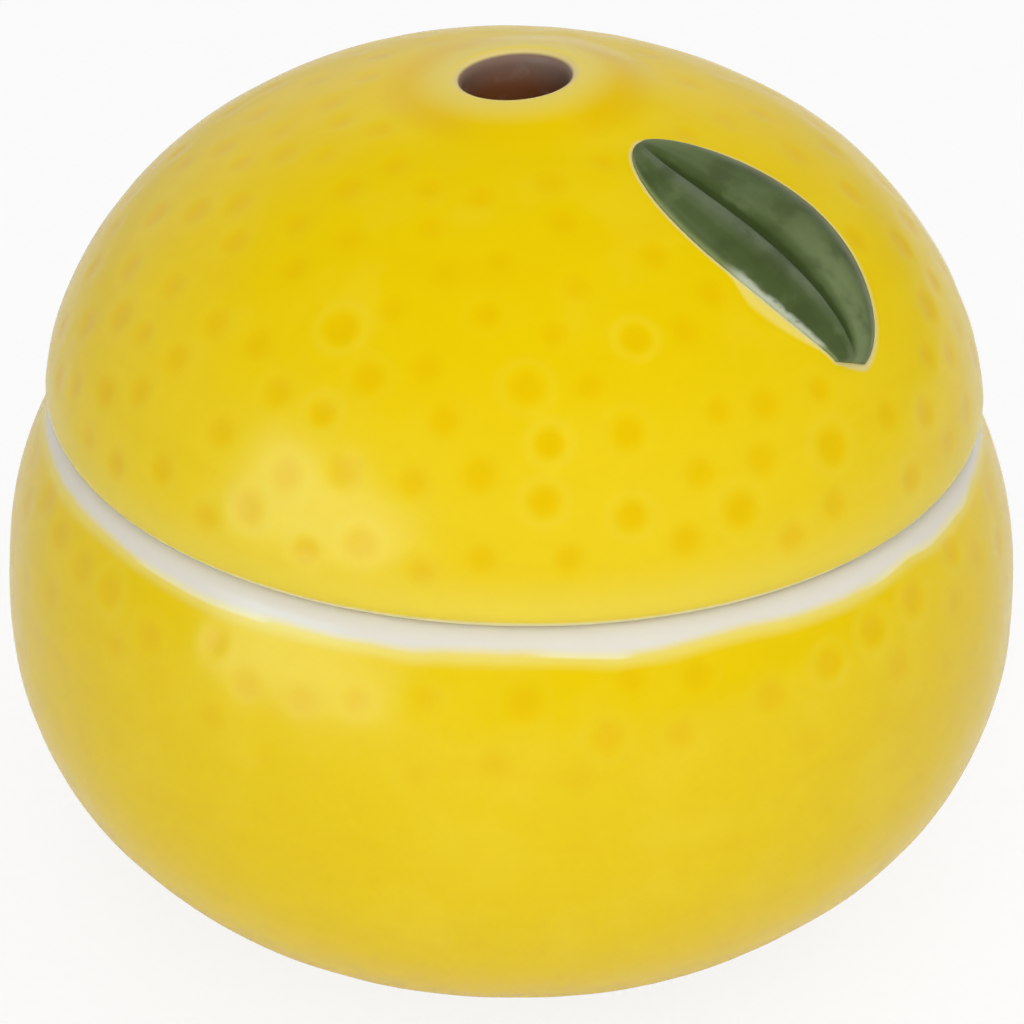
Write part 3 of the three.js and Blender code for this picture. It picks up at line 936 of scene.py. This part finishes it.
def lid_coats(tree, place):
    height = wavering_height(tree, place, EDGE_WAVER)
    flat = add(tree, "VectorMath", {0: place, 1: (1, 1, 0), 2: (-HOLE_SHIFT, 0, 0)},
               operation="MULTIPLY_ADD").outputs[0]
    radius = add(tree, "VectorMath", {0: flat}, operation="LENGTH").outputs["Value"]
    right = add(tree, "SeparateXYZ", {0: place}).outputs["X"]
    shaded_sides = add(tree, "Math", {0: right}, operation="ABSOLUTE").outputs[0]
    slip = add(tree, "Attribute", attribute_name="slip").outputs["Fac"]
    halo = add(tree, "Attribute", attribute_name="halo").outputs["Fac"]
    return [
        # painted sheen: a paler band a few millimetres above the lid's bottom edge
        ("#f0da4c", 0.6, (height, SEAT_HEIGHT + 7.0, SEAT_HEIGHT + 2.0)),
        ("#eee2a2", 1.0, (height, SEAT_HEIGHT + 1.4, SEAT_HEIGHT + 0.8)),
        # gold round the nub: partly glaze pooled in the hollow, partly painted shade
        (GOLD, 0.3, (radius, crest_radius + 9, crest_radius + 6.5),
         (radius, crest_radius + 3, crest_radius + 5)),
        # painted shade: a deeper gold on the nub's two sides
        ("#ebc000", 0.6, (radius, crest_radius + 9, crest_radius + 5),
         (radius, crest_radius, crest_radius + 3), (shaded_sides, 4.0, 9.0)),
        ("#ecd45c", 1.0, (radius, crest_radius + 5, crest_radius)),
        ("#e6d2a6", 0.5, (radius, crest_radius, crest_radius - 0.9)),
        (HOLE_BROWN, 1.0, (radius, HOLE_RADIUS + 0.65, HOLE_RADIUS + 0.3)),
        ("#f4de6a", 0.9, (halo, 0.0, 1.0)),
        ("#e6dda4", 0.75, (slip, 0.0, 1.0)),
    ]


lid_glaze = yellow_glaze("yellow_glaze_lid", lid_coats)
print("made", lid_glaze.name)

# %% [markdown]
# ### Clear glaze over white
# Inside, and on the seat and flange, such pots are left white under a clear glaze. It is nearly
# plain, with faint clouds and a few fine specks of iron from the clay.

# %% Clear glaze over white
CLOUD_SIZE = 12.0
SPECK_GAP = 5.0

white_glaze, tree, shader, place = new_material("clear_glaze_over_white")
cloud = add(tree, "TexNoise", {0: place, "Scale": 1 / CLOUD_SIZE, "Detail": 4.0}).outputs["Fac"]
speck = add(tree, "TexVoronoi", {0: place, "Scale": 1 / SPECK_GAP}).outputs["Distance"]
colour = paint(tree, "#ebe6da", [
    ("#e0d9c8", 1.0, (cloud, 0.3, 0.7)),
    ("#b9a68a", 0.5, (speck, 0.06, 0.03)),
])
gloss = add(tree, "MapRange", {"Value": cloud, "To Min": 0.14, "To Max": 0.3}).outputs[0]
give(tree, shader, {"Base Color": colour, "Roughness": gloss, "IOR": 1.5})
print("made", white_glaze.name)

# %% [markdown]
# ### Brown stain with painted shade, and bare clay
# The wall of the hole is stained brown, and it is painted greyer near the lip and darker and redder
# where it is deep, as the shade in the hole. The underside of the foot ring is bare, because glaze
# would stick it to the kiln's shelf: a dry, cream-coloured clay with a fine grain.

# %% Brown stain with painted shade, and bare clay
HOLE_SHADE_WAVER = 0.4
STAIN_SIZE = 2.5
GRAIN_SIZE, GRAIN_DEPTH = 0.6, 0.1

brown_stain_and_shade, tree, shader, place = new_material("brown_stain_and_painted_shade_in_the_hole")
height = wavering_height(tree, place, HOLE_SHADE_WAVER)
stain = add(tree, "TexNoise", {0: place, "Scale": 1 / STAIN_SIZE, "Detail": 3.0}).outputs["Fac"]
colour = paint(tree, HOLE_BROWN, [
    # painted shade: darker and redder deep in the hole
    ("#7a4a2a", 1.0, (height, crest - 0.8, crest - 5.0)),
    ("#a08878", 0.35, (stain, 0.5, 0.7)),
])
give(tree, shader, {"Base Color": colour, "Roughness": 0.5, "Specular IOR Level": 0.2})

bare_clay, tree, shader, place = new_material("bare_earthenware")
grain = add(tree, "TexNoise", {0: place, "Scale": 1 / GRAIN_SIZE, "Detail": 3.0}).outputs["Fac"]
colour = paint(tree, "#e6d9bf", [("#d4c3a3", 0.8, (grain, 0.4, 0.7))])
bump = add(tree, "Bump", {"Height": grain, "Strength": 0.5, "Distance": GRAIN_DEPTH * MM}).outputs[0]
give(tree, shader, {"Base Color": colour, "Roughness": 0.85, "Normal": bump})
print("made", brown_stain_and_shade.name, "and", bare_clay.name)

# %% [markdown]
# ### Green glaze on the leaf
# The leaf was painted with a copper-green glaze, brushed along its length and blotchy. It is darkest
# in the crease of the midrib, lighter towards the stalk and the tip, painted greyer along the lower
# half as sheen, and worn through to the white slip along part of the straighter edge. The shares in
# its coats run from tip to stalk (long) and from the straighter edge to the fuller one (wide).

# %% Green glaze
BRUSH_STROKES = (2.5, 9.0, 1.0)  # along the leaf, across it, and through it
WEAR_SIZE = 1.6
BLOTCH_SIZE = 4.5
RAGGEDNESS, WAVINESS = 0.08, 0.03
RIB_LINE = 0.515  # share across the leaf where the crease is darkest

green_glaze, tree, shader, place = new_material("green_glaze_leaf")
leaf_uv = add(tree, "UVMap", uv_map=leaf.data.uv_layers.active.name).outputs[0]
split = add(tree, "SeparateXYZ", {0: leaf_uv})
long, wide = split.outputs["X"], split.outputs["Y"]
brushed = add(tree, "Mapping", {0: leaf_uv, "Scale": BRUSH_STROKES}).outputs[0]
brush = add(tree, "TexNoise", {0: brushed, "Scale": 1.0, "Detail": 2.0}).outputs["Fac"]
wear = add(tree, "TexNoise", {0: place, "Scale": 1 / WEAR_SIZE, "Detail": 2.0}).outputs["Fac"]
blotch = add(tree, "TexNoise", {0: place, "Scale": 1 / BLOTCH_SIZE, "Detail": 3.0}).outputs["Fac"]
ragged = add(tree, "Math", {0: wear, 1: RAGGEDNESS, 2: wide}, operation="MULTIPLY_ADD").outputs[0]
wavy = add(tree, "Math", {0: wear, 1: WAVINESS, 2: wide}, operation="MULTIPLY_ADD").outputs[0]
side = add(tree, "Math", {0: wavy, 1: RIB_LINE}, operation="SUBTRACT").outputs[0]
off_rib = add(tree, "Math", {0: side}, operation="ABSOLUTE").outputs[0]
colour = paint(tree, "#505f37", [
    ("#5f6e46", 0.5, (brush, 0.4, 0.65)),
    ("#7c8a5c", 0.5, (wide, 0.55, 0.8), (long, 0.45, 0.1)),
    ("#7d8c5e", 0.75, (wide, 0.53, 0.62), (wide, 0.92, 0.7), (long, 0.35, 0.7)),
    # painted sheen: a greyer band along the crease on the lower half
    ("#6e7662", 0.6, (wavy, 0.22, 0.38), (wavy, RIB_LINE, 0.45), (long, 0.05, 0.25), (long, 0.85, 0.6)),
    ("#445329", 0.6, (wide, 0.66, 0.53), (wide, 0.5, 0.53), (long, 0.75, 0.5)),
    ("#46552c", 0.7, (wide, 0.4, 0.25), (wide, 0.02, 0.15), (long, 0.35, 0.6)),
    ("#404b28", 0.5, (blotch, 0.5, 0.66)),
    ("#707d56", 0.4, (blotch, 0.46, 0.32)),
    ("#35431f", 0.9, (off_rib, 0.05, 0.02), (long, *CREASE_TIP), (long, *CREASE_STALK)),
    ("#8a9268", 0.4, (off_rib, 0.475, 0.497)),
    ("#93a06c", 0.5, (wide, 0.06, 0.0)),
    ("#c0c6b0", 0.9, (ragged, 0.11, 0.055), (wear, 0.2, 0.42),
     (long, WORN_FROM, WORN_FROM + 0.06), (long, WORN_TO + 0.06, WORN_TO)),
])
gloss = add(tree, "MapRange", {"Value": brush, "To Min": 0.28, "To Max": 0.44}).outputs[0]
give(tree, shader, {"Base Color": colour, "Roughness": gloss, "IOR": 1.5, "Specular IOR Level": 0.35})
print("made", green_glaze.name)

# %% [markdown]
# ### Putting the finishes on
# Each turned piece has a list of finishes, and each face takes the first whose test it passes: the
# outside is the one that looks away from the middle of the piece, and what is left is white.

# %% Assign the finishes
HOLE_STEEPNESS = 0.5  # a face of the hole's wall is steeper than this
HOLE_SLACK = 0.1
SEAT_SLACK = 0.02


def dress(piece, finishes):
    """Give each face the first finish whose test it passes."""
    for material, _ in finishes:
        piece.data.materials.append(material)
    for face in piece.data.polygons:
        tests = enumerate(test for _, test in finishes)
        face.material_index = next(k for k, test in tests if test(face.center / MM, face.normal))


def on_foot(spot, normal):
    return spot.z < FOOT_ROUND and math.hypot(spot.x, spot.y) > foot_inner


def on_bowl(spot, normal):
    return normal.dot(spot - Vector((0, 0, BELLY_HEIGHT))) > 0 and spot.z > FOOT_ROUND


def in_hole(spot, normal):
    faces_axis = normal.x * spot.x + normal.y * spot.y < 0 and abs(normal.z) < HOLE_STEEPNESS
    return faces_axis and math.hypot(spot.x, spot.y) < crest_radius and spot.z > hole_foot - HOLE_SLACK


def on_lid(spot, normal):
    lip = math.hypot(spot.x, spot.y) < crest_radius and spot.z > dome_centre + under_height
    above = normal.dot(spot - Vector((0, 0, dome_centre))) > 0 and spot.z > SEAT_HEIGHT + SEAT_SLACK
    return lip or above


def anywhere(spot, normal):
    return True


dress(bowl, [(bare_clay, on_foot), (bowl_glaze, on_bowl), (white_glaze, anywhere)])
dress(lid, [(brown_stain_and_shade, in_hole), (lid_glaze, on_lid), (white_glaze, anywhere)])
leaf.data.materials.append(green_glaze)
for piece, body, node, slot in (
    (bowl, "bowl", "bowl", "yellow_glaze"),
    (lid, "lid", "lid", "yellow_glaze"),
    (leaf, "lid", "leaf", "green_glaze"),
):
    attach(piece, body)
    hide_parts(node)
    print(piece.name, "rides on", body, "and stands for", node)

# %% [markdown]
# ## Camera
# The photograph looks down on the bowl from about 30 degrees with a long lens, and is tilted a
# little to one side.

# %% Camera
CAMERA_DISTANCE = 480.0
CAMERA_ELEVATION = 30.269  # degrees
CAMERA_ROLL = 0.02  # radians
CAMERA_AIM = 49.045  # height of the point on the axis that it looks at
LENS, SENSOR = 141.17, 36.0

elevation = math.radians(CAMERA_ELEVATION)
camera = bpy.data.objects.new("camera", bpy.data.cameras.new("camera"))
bpy.context.collection.objects.link(camera)
camera.data.lens = LENS
camera.data.sensor_width = SENSOR
camera.data.clip_start = 0.01
stand = Vector((0, -math.cos(elevation), math.sin(elevation))) * CAMERA_DISTANCE * MM
camera.location = stand + Vector((0, 0, CAMERA_AIM * MM))
camera.rotation_euler = (Matrix.Rotation(math.pi / 2 - elevation, 3, "X")
                         @ Matrix.Rotation(CAMERA_ROLL, 3, "Z")).to_euler()
bpy.context.scene.camera = camera
print("camera at", [round(v, 3) for v in camera.location], "m")

# %% [markdown]
# ## Studio
# The bowl stands on a disc of white paper, so wide that its rim lies far outside the picture. The
# paper looks nearly white to the camera by itself, through Light Path, and so needs no more light than
# the bowl does, and the shadow of the bowl stays on it.

# %% Floor
FLOOR_RADIUS = 12.0  # metres
FLOOR_SIDES = 96
FLOOR_GLOW = (("Is Camera Ray", 0.85), ("Is Glossy Ray", 0.2), ("Is Transmission Ray", 0.85))
PAPER_GRAIN = 2.0

bpy.ops.object.select_all(action="DESELECT")
bpy.ops.mesh.primitive_circle_add(vertices=FLOOR_SIDES, radius=FLOOR_RADIUS, fill_type="NGON",
                                  location=(0, 0, 0))
floor = bpy.context.object
floor.name = "floor"
paper, tree, shader, place = new_material("white_paper_floor")
grain = add(tree, "TexNoise", {0: place, "Scale": 1 / PAPER_GRAIN, "Detail": 2.0}).outputs["Fac"]
colour = paint(tree, "#f6f6f6", [("#fafafa", 1.0, (grain, 0.3, 0.7))])
give(tree, shader, {"Base Color": colour, "Roughness": 0.9, "Specular IOR Level": 0.1})
glow = add(tree, "Emission", {"Color": (1, 1, 1, 1), "Strength": 1.0})
path = add(tree, "LightPath")
share = 0.0
for ray, strength in FLOOR_GLOW:
    share = add(tree, "Math", {0: path.outputs[ray], 1: strength, 2: share},
                operation="MULTIPLY_ADD").outputs[0]
blend = add(tree, "MixShader", {0: share, 1: shader.outputs[0], 2: glow.outputs[0]})
give(tree, tree.nodes["Material Output"], {"Surface": blend.outputs[0]})
floor.data.materials.append(paper)
print("made", floor.name, "of", paper.name)

# %% [markdown]
# ### Lamps
# Three softboxes, over, before and behind the bowl, light it evenly and are hidden from its gloss. A
# low window on the left is the other way round: it is seen only in the gloss, cool as daylight, as
# the soft patch on the front of the lid and bowl.

# %% Lamps
OBJECT_MIDDLE = (0, 0, 0.06)  # metres, as are the places and sizes of the lamps
WHITE, DAYLIGHT = "#ffffff", "#b3e7ff"


def softbox(name, spot, target, size, radiance, colour, mirrored):
    """An area lamp of a size in metres, aimed at a target; a radiance of 1 looks white."""
    lamp = bpy.data.lights.new(name, "AREA")
    lamp.shape = "RECTANGLE"
    lamp.size, lamp.size_y = size
    lamp.energy = radiance * math.pi * size[0] * size[1]
    lamp.color = linear(colour)[:3]
    lamp.cycles.use_multiple_importance_sampling = mirrored
    holder = bpy.data.objects.new(name, lamp)
    bpy.context.collection.objects.link(holder)
    holder.location = spot
    aim = Vector(target) - Vector(spot)
    holder.rotation_euler = aim.to_track_quat("-Z", "Y").to_euler()
    holder.visible_glossy = mirrored
    holder.visible_diffuse = not mirrored


softbox("top_softbox", (0.55, -0.3, 2.0), (0.55, -0.3, 0), (3.0, 3.0), 1.11, WHITE, False)
softbox("front_softbox", (-0.08, -1.7, 1.15), OBJECT_MIDDLE, (1.8, 1.4), 2.85, WHITE, False)
softbox("back_softbox", (1.0, 1.4, 1.0), OBJECT_MIDDLE, (1.5, 1.2), 0.75, WHITE, False)
softbox("left_panel", (-0.8, -1.08, 0.32), (0, -1.08, 0.3), (1.44, 0.6), 5.8, DAYLIGHT, True)
print("lamps:", [lamp.name for lamp in bpy.data.lights])

# %% [markdown]
# ### Room
# The room is dark overhead and brightest in the far left corner, so that the gloss is strongest at
# the sides of the bowl.

# %% Room
ROOM_SIDES, ROOM_CORNER, ROOM_OVERHEAD = 0.14, 0.7, 0.05
BRIGHT_CORNER = (-0.5, 0.87, 0)
CORNER_SPREAD = {"From Min": 0.2, "From Max": 0.9}
OVERHEAD_SPREAD = {"From Min": 0.3, "From Max": 0.85}

world = bpy.context.scene.world or bpy.data.worlds.new("room")
bpy.context.scene.world = world
world.use_nodes = True
tree = world.node_tree
sight = add(tree, "TexCoord").outputs["Generated"]
facing = add(tree, "VectorMath", {0: sight, 1: BRIGHT_CORNER}, operation="DOT_PRODUCT").outputs["Value"]
wall = add(tree, "MapRange", {"Value": facing, **CORNER_SPREAD, "To Min": ROOM_SIDES, "To Max": ROOM_CORNER},
           interpolation_type="SMOOTHSTEP").outputs[0]
upward = add(tree, "SeparateXYZ", {0: sight}).outputs["Z"]
light = add(tree, "MapRange", {"Value": upward, **OVERHEAD_SPREAD, "To Min": wall, "To Max": ROOM_OVERHEAD},
            interpolation_type="SMOOTHSTEP").outputs[0]
give(tree, tree.nodes["Background"], {"Color": (1, 1, 1, 1), "Strength": light})
bpy.context.scene.view_settings.view_transform = "Standard"
print("room from", ROOM_OVERHEAD, "overhead to", ROOM_CORNER, "in the bright corner")
